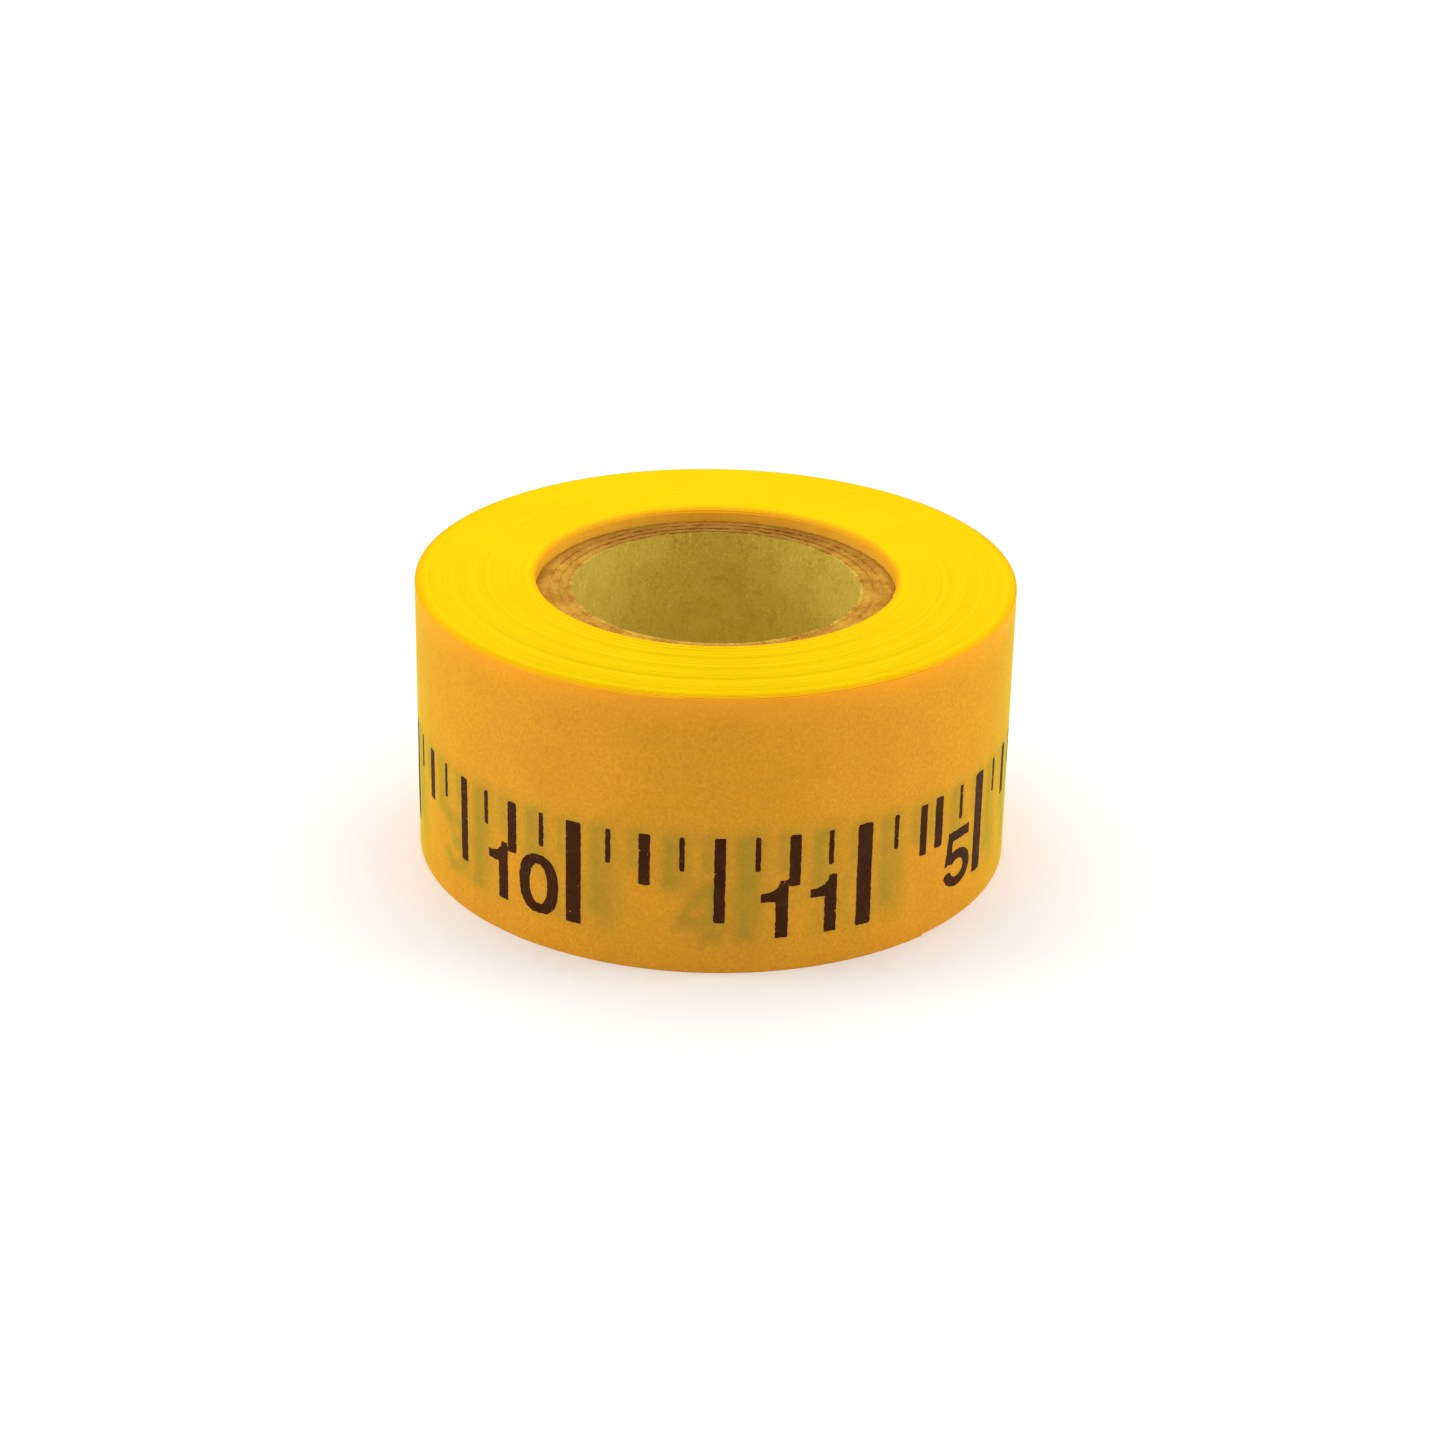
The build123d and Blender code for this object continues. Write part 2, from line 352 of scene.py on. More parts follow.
def print_distance(xs, zs, blur=0.0):
    """Distance to the ink's edge, negative inside, at every crossing of the xs and zs."""
    field = np.full((len(xs), len(zs)), FAR)
    for middle, half, low, high, shape in printed(xs[0], xs[-1]):
        i0, i1 = np.searchsorted(xs, [middle - half - blur, middle + half + blur])
        k0, k1 = np.searchsorted(zs, [low - blur, high + blur])
        if i1 > i0 and k1 > k0:
            u, v = np.meshgrid(xs[i0:i1], zs[k0:k1], indexing="ij")
            block = field[i0:i1, k0:k1]
            np.minimum(block, shape(u, v), out=block)
    return field


def print_shade(xs, zs, layers):
    """Shade, from 0 to 1, of the print on a turn and on those under it, each with its strength and blur."""
    clear = np.ones((len(xs), len(zs)))
    for turns, (strength, blur) in enumerate(layers):
        back = turns * TURN_LENGTH - math.pi * TURN_PITCH * turns * (turns - 1)
        share = np.clip(0.5 - print_distance(xs - back, zs, blur / 2) / blur, 0, 1)
        clear *= 1 - strength * share * share * (3 - 2 * share)
    return 1 - clear


# ---------------------------------------------------------------- meshes
def piece(name, points, faces, materials, body=None, replaces=(), slot=None, kinds=None, values=None):
    """New object from points in millimetres, smooth shaded, on a body and in place of CAD nodes."""
    mesh = bpy.data.meshes.new(name)
    mesh.from_pydata((np.asarray(points) * MM).tolist(), [], faces)
    mesh.polygons.foreach_set("use_smooth", [True] * len(mesh.polygons))
    for material in materials:
        mesh.materials.append(material)
    if kinds is not None:
        mesh.polygons.foreach_set("material_index", kinds)
    for key, numbers in (values or {}).items():
        mesh.attributes.new(key, "FLOAT", "POINT").data.foreach_set("value", np.asarray(numbers, np.float32))
    mesh.update()
    obj = bpy.data.objects.new(name, mesh)
    bpy.context.scene.collection.objects.link(obj)
    if body:
        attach(obj, body)
    if replaces:
        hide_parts(*replaces)
    return obj


def sharp(obj, degrees=40):
    """Marks the edges that turn by more than an angle as sharp, so that smooth shading stops there."""
    obj.data.set_sharp_from_angle(angle=math.radians(degrees))
    return obj


def grid_faces(columns, rows, offset=0, flip=False):
    """Quads of a grid of points stored column by column."""
    i, k = np.meshgrid(np.arange(columns - 1), np.arange(rows - 1), indexing="ij")
    a = (offset + i * rows + k).ravel()
    quads = np.stack([a, a + rows, a + rows + 1, a + 1], axis=1)
    return (quads[:, ::-1] if flip else quads).tolist()


def film_rows():
    """Heights of the rows of the film's face: close together in the print's band, wide elsewhere."""
    band = np.arange(BASELINE - BAND_MARGIN, MARK_TOP + BAND_MARGIN + 0.01, FILM_STEP)
    below = np.linspace(TAPE_LOW + PLAIN_MARGIN, band[0], ROWS_BELOW)[:-1]
    above = np.linspace(band[-1], TAPE_HIGH - PLAIN_MARGIN, ROWS_ABOVE)[1:]
    low_pair, high_pair = [TAPE_LOW, TAPE_LOW + EDGE_ROW], [TAPE_HIGH - EDGE_ROW, TAPE_HIGH]
    return np.concatenate([low_pair, below, band, above, high_pair])


def glue_rows():
    """Heights of the few rows of an adhesive face that no print shows through."""
    return np.array([TAPE_LOW, TAPE_LOW + EDGE_ROW, TAPE_LOW + GLUE_ROW, MARK_TOP,
                     TAPE_HIGH - GLUE_ROW, TAPE_HIGH - EDGE_ROW, TAPE_HIGH])


def layer(name, x0, x1, depth, back_depth, materials, step, rows, shades=(), **where):
    """Closed strip of one layer of the tape: its seen face at one depth, its hidden back at another."""
    xs = np.linspace(x0, x1, max(3, int(round((x1 - x0) / step)) + 1))
    low, high = low_edge(xs), top_edge(xs)
    z = np.tile(rows, (len(xs), 1))
    z[:, 0], z[:, -1] = low, high
    z[:, 1] += low - TAPE_LOW
    z[:, -2] += high - TAPE_HIGH
    rounding = np.zeros(len(rows))
    rounding[0] = rounding[-1] = EDGE_ROUNDING * np.sign(back_depth - depth)
    face = wound(xs[:, None], z, depth + rounding[None, :])
    back = wound(xs[:, None], z[:, [0, -1]], back_depth)
    count, height = len(xs), len(rows)
    points = np.concatenate([face.reshape(-1, 3), back.reshape(-1, 3)])
    base = count * height
    faces = grid_faces(count, height)
    faces += grid_faces(count, 2, base, flip=True)
    kinds = [0] * len(faces)
    i = np.arange(count - 1)
    low_face, high_face = i * height, i * height + height - 1
    low_back, high_back = base + 2 * i, base + 2 * i + 1
    faces += np.stack([low_face, low_back, low_back + 2, low_face + height], axis=1).tolist()
    faces += np.stack([high_face, high_face + height, high_back + 2, high_back], axis=1).tolist()
    kinds += [1] * (2 * (count - 1))
    faces.append(list(range(height)) + [base + 1, base])
    last = (count - 1) * height
    faces.append(list(range(last + height - 1, last - 1, -1)) + [base + 2 * count - 2, base + 2 * count - 1])
    kinds += [1, 1]
    if back_depth < depth:
        faces = [ring[::-1] for ring in faces]
    shade = print_shade(xs, rows, shades)
    values = {"ghost": np.concatenate([shade.ravel(), np.zeros(2 * count)])}
    return sharp(piece(name, points, faces, materials, kinds=kinds, values=values, **where))


def ink(name, x0, x1, depth, material, **where):
    """Ink on the film between two places: closed flakes cut out along the print's slightly ragged edge."""
    xs = np.linspace(x0, x1, max(2, int(math.ceil((x1 - x0) / PRINT_CELL)) + 1))
    zs = np.arange(BASELINE - PRINT_MARGIN, MARK_TOP + PRINT_MARGIN + 0.01, PRINT_CELL)
    field = print_distance(xs, zs, blur=0.3)
    u, v = np.meshgrid(xs, zs, indexing="ij")
    (coarse, coarse_size), (fine, fine_size) = COARSE_WANDER, FINE_WANDER
    rough = coarse * grain(u / coarse_size, v / coarse_size, 1)
    rough = rough + fine * grain(u / fine_size, v / fine_size, 2)
    holes = grain(u / PINHOLE_SIZE + 5, v / PINHOLE_SIZE, 5)
    field = np.maximum(field + rough, np.where(holes > PINHOLE_LEVEL, 0.05, -1))
    inside = field < 0
    points, index, faces = [], {}, []

    def corner(i, k):
        if (i, k) not in index:
            index[i, k] = len(points)
            points.append((xs[i], zs[k]))
        return index[i, k]

    def crossing(a, b):
        key = (min(a, b), max(a, b))
        if key not in index:
            fa, fb = field[a], field[b]
            t = min(max(fa / (fa - fb), 0.02), 0.98)
            index[key] = len(points)
            points.append((xs[a[0]] + t * (xs[b[0]] - xs[a[0]]), zs[a[1]] + t * (zs[b[1]] - zs[a[1]])))
        return index[key]

    corners_in = inside[:-1, :-1].astype(int) + inside[1:, :-1] + inside[1:, 1:] + inside[:-1, 1:]
    for i, k in zip(*np.nonzero(corners_in == 4)):
        faces.append([corner(i, k), corner(i + 1, k), corner(i + 1, k + 1), corner(i, k + 1)])
    for i, k in zip(*np.nonzero((corners_in > 0) & (corners_in < 4))):
        for triangle in (((i, k), (i + 1, k), (i + 1, k + 1)), ((i, k), (i + 1, k + 1), (i, k + 1))):
            ring = []
            for a, b in zip(triangle, triangle[1:] + triangle[:1]):
                if inside[a]:
                    ring.append(corner(*a))
                if inside[a] != inside[b]:
                    ring.append(crossing(a, b))
            if len(ring) > 2:
                faces.append(ring)
    if not faces:
        return None
    flat = np.array(points)
    count = len(flat)
    top = wound(flat[:, 0], flat[:, 1], depth - INK)
    bottom = wound(flat[:, 0], flat[:, 1], depth + INK_SINK)
    edges = {}
    for ring in faces:
        for a, b in zip(ring, ring[1:] + ring[:1]):
            if (b, a) in edges:
                del edges[b, a]
            else:
                edges[a, b] = True
    solid = faces + [[v + count for v in reversed(ring)] for ring in faces]
    solid += [[a, a + count, b + count, b] for a, b in edges]
    obj = piece(name, np.concatenate([top, bottom]), solid, [material], **where)
    return sharp(obj)


# ---------------------------------------------------------------- materials
class Nodes:
    """Node tree of one material, with short calls for the nodes that this scene uses."""

    MIX_A, MIX_B, MIX_RESULT = 6, 7, 2     # the colour sockets of a Mix node, which share names with others

    def __init__(self, name):
        self.material = bpy.data.materials.new(name)
        self.material.use_nodes = True
        self.tree = self.material.node_tree
        self.shader = self.tree.nodes["Principled BSDF"]
        self.place = self.add("ShaderNodeTexCoord").outputs["Object"]

    def add(self, kind, inputs=None, **settings):
        node = self.tree.nodes.new(kind)
        for key, value in settings.items():
            setattr(node, key, value)
        for key, value in (inputs or {}).items():
            if isinstance(value, bpy.types.NodeSocket):
                self.tree.links.new(value, node.inputs[key])
            else:
                node.inputs[key].default_value = value
        return node

    def noise(self, scale, detail=3.0, where=None, roughness=0.55):
        return self.add("ShaderNodeTexNoise", {"Vector": where or self.place, "Scale": scale,
                                               "Detail": detail, "Roughness": roughness}).outputs["Fac"]

    def stretched(self, x, y, z):
        return self.add("ShaderNodeMapping", {"Vector": self.place, "Scale": (x, y, z)}).outputs["Vector"]

    def math(self, operation, a, b=0.0, clamp=False):
        return self.add("ShaderNodeMath", {0: a, 1: b}, operation=operation, use_clamp=clamp).outputs[0]

    def spread(self, value, low, high, to_low=0.0, to_high=1.0):
        return self.add("ShaderNodeMapRange", {"Value": value, "From Min": low, "From Max": high,
                                               "To Min": to_low, "To Max": to_high}).outputs["Result"]

    def mix(self, share, a, b):
        node = self.add("ShaderNodeMix", {"Factor": share}, data_type="RGBA")
        for index, value in ((self.MIX_A, a), (self.MIX_B, b)):
            if isinstance(value, bpy.types.NodeSocket):
                self.tree.links.new(value, node.inputs[index])
            else:
                node.inputs[index].default_value = (*value, 1.0)
        return node.outputs[self.MIX_RESULT]

    def attribute(self, name):
        return self.add("ShaderNodeAttribute", attribute_name=name).outputs["Fac"]

    def radius(self):
        """Distance from the roll's axis, in metres."""
        flat = self.add("ShaderNodeVectorMath", {0: self.place, 1: (1, 1, 0)}, operation="MULTIPLY")
        return self.add("ShaderNodeVectorMath", {0: flat.outputs[0]}, operation="LENGTH").outputs["Value"]

    def height(self):
        """Height above the surface that the roll stands on, in metres."""
        return self.add("ShaderNodeSeparateXYZ", {"Vector": self.place}).outputs["Z"]

    def behind(self):
        """Distance behind the roll's axis, in metres."""
        return self.add("ShaderNodeSeparateXYZ", {"Vector": self.place}).outputs["Y"]

    def finish(self, colour, roughness, bump=None, strength=0.2, distance=0.0001, **sockets):
        self.tree.links.new(colour, self.shader.inputs["Base Color"])
        if isinstance(roughness, bpy.types.NodeSocket):
            self.tree.links.new(roughness, self.shader.inputs["Roughness"])
        else:
            self.shader.inputs["Roughness"].default_value = roughness
        if bump is not None:
            node = self.add("ShaderNodeBump", {"Height": bump, "Strength": strength, "Distance": distance})
            self.tree.links.new(node.outputs["Normal"], self.shader.inputs["Normal"])
        for key, value in sockets.items():
            self.shader.inputs[key.replace("_", " ")].default_value = value
        return self.material


def film_face():
    """Printed yellow film: satin, with a painted highlight along its upper edge, lower print showing through
    grey-green.
    """
    n = Nodes("film_face")
    blotch = n.spread(n.noise(260, 4), 0.3, 0.7)
    dull = n.spread(n.noise(3600, 2), 0.40, 0.66)
    bright = n.spread(n.noise(4300, 2, n.stretched(1.3, 1.3, 1)), 0.54, 0.72)
    ground = n.mix(blotch, (0.765, 0.335, 0.023), (0.705, 0.305, 0.024))
    ground = n.mix(n.math("MULTIPLY", dull, 0.50), ground, (0.560, 0.230, 0.024))
    ground = n.mix(n.math("MULTIPLY", bright, 0.60), ground, (0.860, 0.430, 0.024))
    # painted highlight: the film's colour turns brighter towards its upper edge
    painted_highlight_by_top = n.math("POWER", n.spread(n.height(), (TAPE_HIGH - PAINTED_TOP_HIGHLIGHT) * MM, TAPE_HIGH * MM), 2.0)
    ground = n.mix(n.math("MULTIPLY", painted_highlight_by_top, 0.70), ground, (1.0, 0.380, 0.023))
    seen = n.math("MULTIPLY", n.attribute("ghost"), n.spread(n.noise(800, 3), 0.25, 0.75, 0.62, 1.0))
    colour = n.mix(seen, ground, (0.265, 0.228, 0.026))
    roughness = n.spread(n.noise(900, 3), 0.3, 0.7, 0.42, 0.52)
    return n.finish(colour, roughness, n.noise(3200, 3), 0.12, 0.00003, Specular_IOR_Level=0.005,
                    Sheen_Weight=0.42, Sheen_Roughness=0.35, Sheen_Tint=(0.70, 1.0, 0.0, 1.0))


def film_edge():
    """Slit edges of the turns: bright yellow, each a bit different, with painted shade, more orange, by the
    core and the rim.
    """
    n = Nodes("film_edge")
    radius_mm = n.math("MULTIPLY", n.radius(), 1000.0)
    ring = n.add("ShaderNodeTexNoise", {"W": radius_mm, "Scale": 2.6, "Detail": 4.0, "Roughness": 0.7},
                 noise_dimensions="1D").outputs["Fac"]
    streak = n.spread(ring, 0.35, 0.65)
    patch = n.spread(n.noise(120, 3), 0.35, 0.65)
    grit = n.spread(n.noise(2800, 2), 0.55, 0.75)
    colour = n.mix(n.math("MULTIPLY", streak, 0.6), (0.84, 0.605, 0.0003), (0.79, 0.500, 0.0005))
    colour = n.mix(n.math("MULTIPLY", patch, 0.25), colour, (0.79, 0.495, 0.0005))
    colour = n.mix(n.math("MULTIPLY", grit, 0.35), colour, (0.76, 0.430, 0.0006))
    # painted shade: the edges are coloured more orange towards the core and the rim
    painted_shade_by_core = n.spread(n.radius(), CORE_RADIUS * MM, (CORE_RADIUS + CORE_PAINTED_SHADE) * MM, 0.95, 0.0)
    painted_shade_by_rim = n.spread(n.radius(), (ROLL_RADIUS - RIM_PAINTED_SHADE) * MM, ROLL_RADIUS * MM, 0.0, 0.65)
    colour = n.mix(painted_shade_by_core, colour, (0.82, 0.310, 0.008))
    colour = n.mix(painted_shade_by_rim, colour, (0.88, 0.390, 0.006))
    return n.finish(colour, 0.70, n.noise(2500, 3), 0.15, 0.00004, Specular_IOR_Level=0.015)


def adhesive_face():
    """Tacky back of the tape: clear glue over yellow film, with fine streaks."""
    n = Nodes("adhesive_face")
    streak = n.noise(900, 3, n.stretched(1, 1, 0.15))
    colour = n.mix(n.spread(streak, 0.3, 0.7), (1.0, 0.56, 0.038), (1.0, 0.49, 0.034))
    seen = n.math("MULTIPLY", n.attribute("ghost"), n.spread(n.noise(800, 3), 0.25, 0.75, 0.7, 1.0))
    colour = n.mix(seen, colour, (0.22, 0.105, 0.012))
    roughness = n.spread(n.noise(1500, 3), 0.3, 0.7, 0.25, 0.45)
    return n.finish(colour, roughness, streak, 0.25, 0.00004, Specular_IOR_Level=0.35,
                    Sheen_Weight=0.6, Sheen_Roughness=0.5, Sheen_Tint=(1.0, 0.60, 0.02, 1.0))


def printing_ink():
    """Brown-black ink, thin enough that a little yellow shows in it."""
    n = Nodes("printing_ink")
    worn = n.spread(n.noise(2600, 3), 0.56, 0.74)
    colour = n.mix(n.spread(n.noise(600, 3), 0.3, 0.7), (0.040, 0.011, 0.003), (0.056, 0.018, 0.004))
    colour = n.mix(n.math("MULTIPLY", worn, 0.30), colour, (0.17, 0.065, 0.008))
    roughness = n.spread(n.noise(1200, 2), 0.3, 0.7, 0.45, 0.62)
    return n.finish(colour, roughness, n.noise(2600, 2), 0.12, 0.00003, Specular_IOR_Level=0.045)


def board(name, light, dark, fleck, bump, mottle=0.3, back_shadow=0.0, pale=0.0, shade=(0.20, 0.075, 0.010)):
    """Paperboard: fibres, flecks and patches, paler lower down, with painted shade by the tape and a painted
    shadow towards the back.
    """
    n = Nodes(name)
    fibre = n.noise(2500, 4, n.stretched(1, 1, 0.8), 0.70)
    colour = n.mix(n.spread(fibre, 0.3, 0.7), light, dark)
    spots = n.spread(n.noise(3400, 2), 0.58, 0.70)
    colour = n.mix(n.math("MULTIPLY", spots, 0.75), colour, fleck)
    specks = n.spread(n.noise(3100, 2, n.stretched(1, 1, 1.2)), 0.60, 0.72)
    colour = n.mix(n.math("MULTIPLY", specks, 0.45), colour, shade)
    broad = n.spread(n.noise(420, 4), 0.38, 0.62)
    colour = n.mix(n.math("MULTIPLY", broad, mottle), colour, fleck)
    low = n.spread(n.height(), TAPE_HIGH * MM, MARK_TOP * MM, 0.0, pale)
    colour = n.mix(low, colour, fleck)
    # painted shade: the core's end is coloured darker towards the tape that stands over it
    rim = n.spread(n.radius(), RIM_SHADE[0] * MM, RIM_SHADE[1] * MM, 0.0, 0.50)
    # painted shadow: the core's end is coloured darker towards the back of the roll
    glue = n.spread(n.behind(), PAINTED_BACK_SHADOW[0] * MM, PAINTED_BACK_SHADOW[1] * MM, 0.0, back_shadow)
    colour = n.mix(n.math("MAXIMUM", rim, glue), colour, shade)
    return n.finish(colour, 0.88, fibre, bump, 0.00012, Specular_IOR_Level=0.10)


FILM_FACE = film_face()
FILM_EDGE = film_edge()
ADHESIVE_FACE = adhesive_face()
PRINT_INK = printing_ink()
LINER_PAPER = board("liner_paper", (0.72, 0.515, 0.066), (0.51, 0.365, 0.048), (0.86, 0.68, 0.125),
                    bump=0.35, pale=0.35)
LINER_EDGE = board("liner_edge", (0.46, 0.24, 0.028), (0.34, 0.16, 0.016), (0.80, 0.58, 0.085),
                   bump=0.60, mottle=0.55, back_shadow=0.6)
CUT_BOARD = board("cut_board", (0.55, 0.255, 0.024), (0.36, 0.145, 0.015), (0.74, 0.42, 0.048),
                  bump=0.80, mottle=0.55, back_shadow=0.6)


# ---------------------------------------------------------------- the core
def ply(name, inner, outer, low, high, materials, rough, seam=False, **where):
    """One ply of the core: a closed ring with roughly cut ends."""
    angles = np.linspace(0, 360, PLY_COLUMNS, endpoint=False)
    across = max(2, int(round((outer - inner) / PLY_STEP)))
    up = SEAM_ROWS if seam else 2
    profile = [(outer, z, 0) for z in np.linspace(low, high, up + 1)[:-1]]
    profile += [(outer + (inner - outer) * k / across, high, 1) for k in range(across)]
    profile += [(inner, z, 2) for z in np.linspace(high, low, up + 1)[:-1]]
    profile += [(inner + (outer - inner) * k / across, low, 1) for k in range(across)]
    count = len(profile)
    radius = np.array([p[0] for p in profile])[None, :] + np.zeros((PLY_COLUMNS, 1))
    height = np.array([p[1] for p in profile])[None, :] + np.zeros((PLY_COLUMNS, 1))
    kind = np.array([p[2] for p in profile])
    turn = angles[:, None] * np.ones((1, count))
    mean = (inner + outer) / 2 * np.radians(turn)
    wave = grain(mean / 0.35, radius / 0.3, 7) + 0.6 * grain(mean / 0.12, radius / 0.15, 8)
    wave[angles > 360 - PLY_CLOSING] *= (360 - turn[angles > 360 - PLY_CLOSING]) / PLY_CLOSING
    wave[angles < PLY_CLOSING] *= turn[angles < PLY_CLOSING] / PLY_CLOSING
    at_end = kind[None, :] == 1
    height = np.where(at_end & (height > (low + high) / 2), high - rough * (0.5 + 0.5 * wave), height)
    height = np.where(at_end & (height <= (low + high) / 2), low + rough * 0.5 * np.abs(wave), height)
    if seam:
        lead = 2 * math.pi * inner * math.tan(math.radians(SEAM_ANGLE))
        helix = ((height - low) / lead - turn / 360) % 1.0
        gap = np.minimum(helix, 1 - helix) * lead
        groove = SEAM_DEPTH * np.exp(-(gap / SEAM_WIDTH) ** 2)
        radius = np.where(kind[None, :] == 2, radius + groove, radius)
    bearing = np.radians(turn)
    points = np.stack([radius * np.sin(bearing), -radius * np.cos(bearing), height], axis=-1)
    i, k = np.meshgrid(np.arange(PLY_COLUMNS), np.arange(count), indexing="ij")
    a = i * count + k
    b = (i + 1) % PLY_COLUMNS * count + k
    c = (i + 1) % PLY_COLUMNS * count + (k + 1) % count
    d = i * count + (k + 1) % count
    faces = np.stack([a, b, c, d], axis=-1).reshape(-1, 4).tolist()
    kinds = np.broadcast_to((kind == 1).astype(int), (PLY_COLUMNS, count)).ravel().tolist()
    return sharp(piece(name, points.reshape(-1, 3), faces, materials, kinds=kinds, **where), 50)


def core():
    """Paperboard core: a smooth inner facing, three body plies and an outer facing, end on."""
    bore = frame["record"]["mounts"][0]["dims"]["r_mm"]
    nodes = ["core_inner_liner", "core_ply_1", "core_ply_2", "core_ply_3", "core_outer_liner"]
    inner = bore
    for node in nodes:
        low_corner, high_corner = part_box(node)
        outer = high_corner.x / MM
        facing = "liner" in node
        slot = "kraft_liner" if facing else "paperboard"
        high = high_corner.z / MM - (OUTER_FACING_DROP if node == "core_outer_liner" else 0.0)
        ply(node.replace("core_", "paper_"), inner, outer, low_corner.z / MM, high,
            [LINER_PAPER if facing else CUT_BOARD, LINER_EDGE if node == "core_inner_liner" else CUT_BOARD],
            FACING_ROUGH if facing else PLY_ROUGH,
            seam=node == "core_inner_liner", body="roll", replaces=(node,), slot=slot)
        inner = outer + PLY_GAP


core()


# ---------------------------------------------------------------- the wound tape
def wound_turns(stop_x):
    """Every turn below the last one, as one spiral ribbon from the core outwards."""
    columns = int((stop_x - FIRST_X) / TURN_LENGTH * TURN_COLUMNS)
    xs = np.linspace(FIRST_X, stop_x, columns)
    low, high = low_edge(xs), top_edge(xs)
    profile = [(0.0, low + FACE_INSET), (0.0, high - FACE_INSET), (0.0, high), (FILM, high),
               (TURN_PITCH, high - GLUE_INSET), (TURN_PITCH, low + GLUE_INSET), (FILM, low), (0.0, low)]
    points = np.stack([wound(xs, z, depth) for depth, z in profile], axis=1)
    count = len(profile)
    i, k = np.meshgrid(np.arange(columns - 1), np.arange(count), indexing="ij")
    a, d = i * count + k, i * count + (k + 1) % count
    faces = np.stack([a, a + count, d + count, d], axis=-1).reshape(-1, 4).tolist()
    face, edge, back = 0, 1, 2             # places of the three materials below
    around = np.array([face, edge, edge, edge, back, edge, edge, edge])
    kinds = np.broadcast_to(around, (columns - 1, count)).ravel().tolist()
    faces += [list(range(count)), list(range(columns * count - 1, (columns - 1) * count - 1, -1))]
    kinds += [edge, edge]
    materials = [FILM_FACE, FILM_EDGE, ADHESIVE_FACE]
    obj = piece("wound_tape", points.reshape(-1, 3), faces, materials, kinds=kinds,
                body="roll", replaces=("wound_turns",), slot="yellow_film")
    return sharp(obj, 30)


rows = film_rows()
film_look = {"materials": [FILM_FACE, FILM_EDGE], "step": FILM_STEP, "rows": rows,
             "shades": (HALO, FIRST_GHOST, SECOND_GHOST, THIRD_GHOST)}
glue_look = {"materials": [ADHESIVE_FACE, FILM_EDGE], "step": GLUE_STEP, "rows": glue_rows()}
bared_glue_look = {"materials": [ADHESIVE_FACE, FILM_EDGE], "step": FILM_STEP, "rows": rows,
                   "shades": (FROM_BEHIND,)}

under_x = PEEL_X - TURN_LENGTH - UNDER_MARGIN
wound_turns(under_x)
layer("turn_below_film", under_x, TURN_START_X, 0, FILM, **film_look,
      body="roll", replaces=("wound_turns",), slot="yellow_film")
layer("turn_below_adhesive", under_x, TURN_START_X, FILM, TURN_PITCH, **glue_look,
      body="roll", replaces=("wound_turns",), slot="adhesive")
ink("turn_below_print", under_x, TURN_START_X, 0, PRINT_INK,
    body="roll", replaces=("under_tail_marks", "under_tail_numbers"), slot="ink")

stuck_x = PEEL_X - TAIL_PITCH / 2
layer("last_turn_face", TURN_START_X, stuck_x, 0, FILM, **film_look,
      body="roll", replaces=("last_turn_film",), slot="yellow_film")
layer("last_turn_glue", TURN_START_X, stuck_x, FILM, TURN_PITCH, **glue_look,
      body="roll", replaces=("last_turn_adhesive",), slot="adhesive")
ink("last_turn_print", TURN_START_X, stuck_x, 0, PRINT_INK,
    body="roll", replaces=("last_turn_marks", "last_turn_numbers"), slot="ink")


# ---------------------------------------------------------------- the free end
def bend(obj, x0, x1):
    """Bakes a piece of the free end's transform into its mesh; the ends between which it would bend over one
    hinge are found but not used.
    """
    if obj is None:
        return
    start, end = (Vector(wound(x, MARK_TOP, 0.0) * MM) for x in (x0, x1))
    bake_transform(obj)


tail_count = len(HINGES)
for number in range(1, tail_count + 1):
    x0 = PEEL_X + (number - 1.5) * TAIL_PITCH
    x1 = x0 + TAIL_PITCH
    bend(layer(f"free_end_film_{number}", x0, x1, 0, FILM, **film_look,
               replaces=(f"tail_film_{number}",), slot="yellow_film"), x0, x1)
    bend(layer(f"free_end_glue_{number}", x0, x1, FILM + ADHESIVE, FILM, **bared_glue_look,
               replaces=(f"tail_adhesive_{number}",), slot="adhesive"), x0, x1)
    bend(ink(f"free_end_print_{number}", x0, x1, 0, PRINT_INK,
             replaces=(f"tail_print_{number}",), slot="ink"), x0, x1)

tip_x = PEEL_X + (tail_count - 0.5) * TAIL_PITCH
tip = f"tail_{tail_count}"
layer("free_end_film_tip", tip_x, END_X, 0, FILM, **film_look,
      body=tip, replaces=(f"tail_film_{tail_count}",), slot="yellow_film")
layer("free_end_glue_tip", tip_x, END_X, FILM + ADHESIVE, FILM, **bared_glue_look,
      body=tip, replaces=(f"tail_adhesive_{tail_count}",), slot="adhesive")
ink("free_end_print_tip", tip_x, END_X, 0, PRINT_INK,
    body=tip, replaces=(f"tail_print_{tail_count}",), slot="ink")


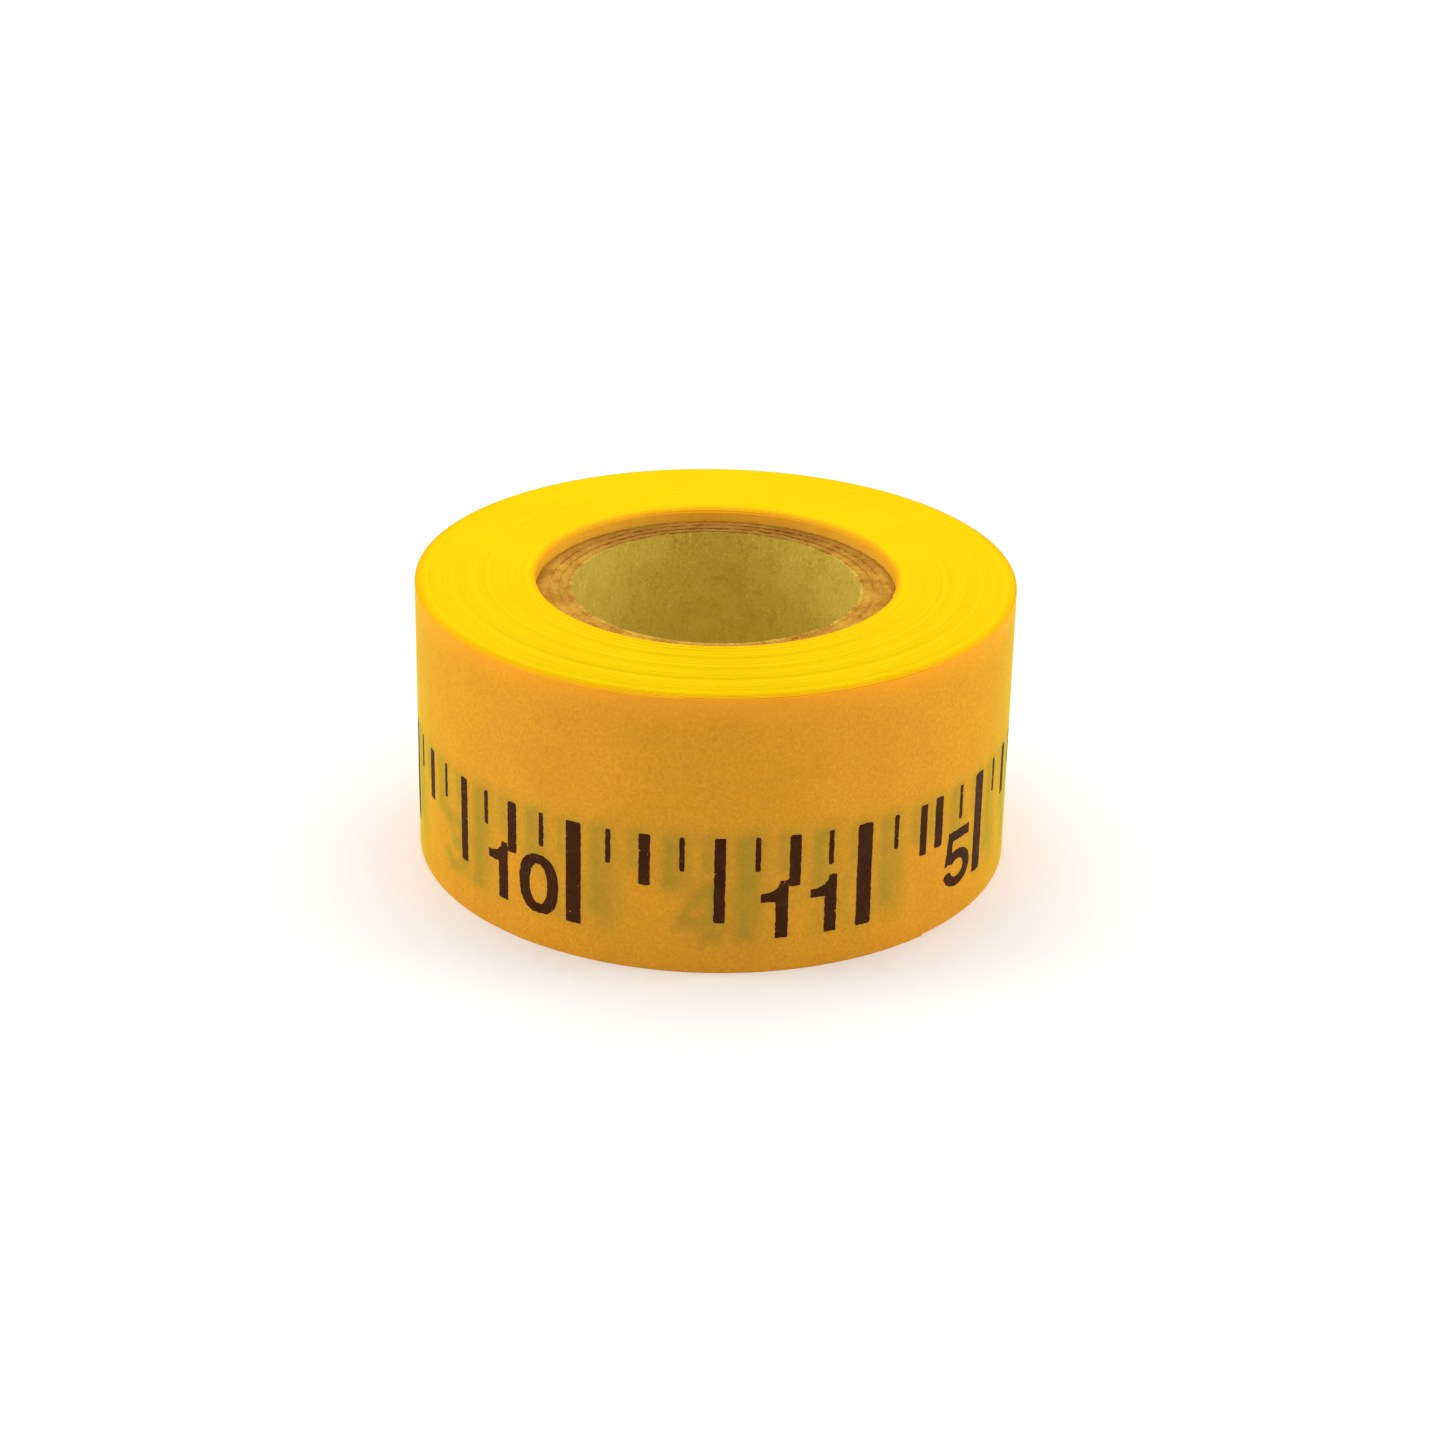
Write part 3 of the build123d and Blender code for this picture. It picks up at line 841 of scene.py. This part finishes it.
# ---------------------------------------------------------------- floor, lights and camera
def floor():
    """Wide pale floor at the height on which the roll stands."""
    mesh = bpy.data.meshes.new("floor")
    reach = 3.0
    corners = [(-reach, -reach, 0), (reach, -reach, 0), (reach, reach, 0), (-reach, reach, 0)]
    mesh.from_pydata(corners, [], [(0, 1, 2, 3)])
    obj = bpy.data.objects.new("floor", mesh)
    bpy.context.scene.collection.objects.link(obj)
    n = Nodes("pale_floor")
    tone = n.mix(n.spread(n.noise(30, 3), 0.3, 0.7), (0.94, 0.94, 0.94), (0.95, 0.95, 0.95))
    mesh.materials.append(n.finish(tone, 0.8, Specular_IOR_Level=0.1))


def area_light(name, place, aim, size, power):
    """Rectangular soft light that faces the point it aims at."""
    data = bpy.data.lights.new(name, "AREA")
    data.shape, data.size, data.size_y = "RECTANGLE", size[0], size[1]
    data.energy = power
    obj = bpy.data.objects.new(name, data)
    obj.location = place
    obj.rotation_euler = (Vector(aim) - Vector(place)).to_track_quat("-Z", "Y").to_euler()
    bpy.context.scene.collection.objects.link(obj)


def camera():
    """Camera at the height, distance and tilt that the picture of the object was taken from."""
    yaw, pitch, roll = 0.0021, -0.4351, 0.0195     # radians
    distance, height = 9.9846 * ROLL_RADIUS * MM, 5.0593 * ROLL_RADIUS * MM
    ahead = Vector((math.sin(yaw) * math.cos(pitch), math.cos(yaw) * math.cos(pitch), math.sin(pitch)))
    right = Vector((math.cos(yaw), -math.sin(yaw), 0))
    up = right.cross(ahead)
    across = math.cos(roll) * right + math.sin(roll) * up
    upright = math.cos(roll) * up - math.sin(roll) * right
    data = bpy.data.cameras.new("camera")
    data.sensor_width, data.lens = 36.0, 81.34
    data.clip_start, data.clip_end = 0.01, 10.0
    obj = bpy.data.objects.new("camera", data)
    turn = Matrix((across, upright, -ahead)).transposed().to_4x4()
    obj.matrix_world = Matrix.Translation((0, -distance, height)) @ turn
    bpy.context.scene.collection.objects.link(obj)
    bpy.context.scene.camera = obj


floor()
world = bpy.data.worlds.new("studio")
world.use_nodes = True
world.node_tree.nodes["Background"].inputs["Color"].default_value = (1, 1, 1, 1)
world.node_tree.nodes["Background"].inputs["Strength"].default_value = 0.58
bpy.context.scene.world = world
area_light("overhead", (0, 0.20, 0.6), (0, 0.12, 0), (0.9, 0.8), 3.2)
area_light("left_side", (-0.45, 0.0, 0.12), (0, 0, 0.015), (0.2, 0.4), 1.02)
area_light("right_side", (0.45, 0.0, 0.12), (0, 0, 0.015), (0.2, 0.4), 0.95)
camera()
bpy.context.scene.view_settings.view_transform = "Standard"
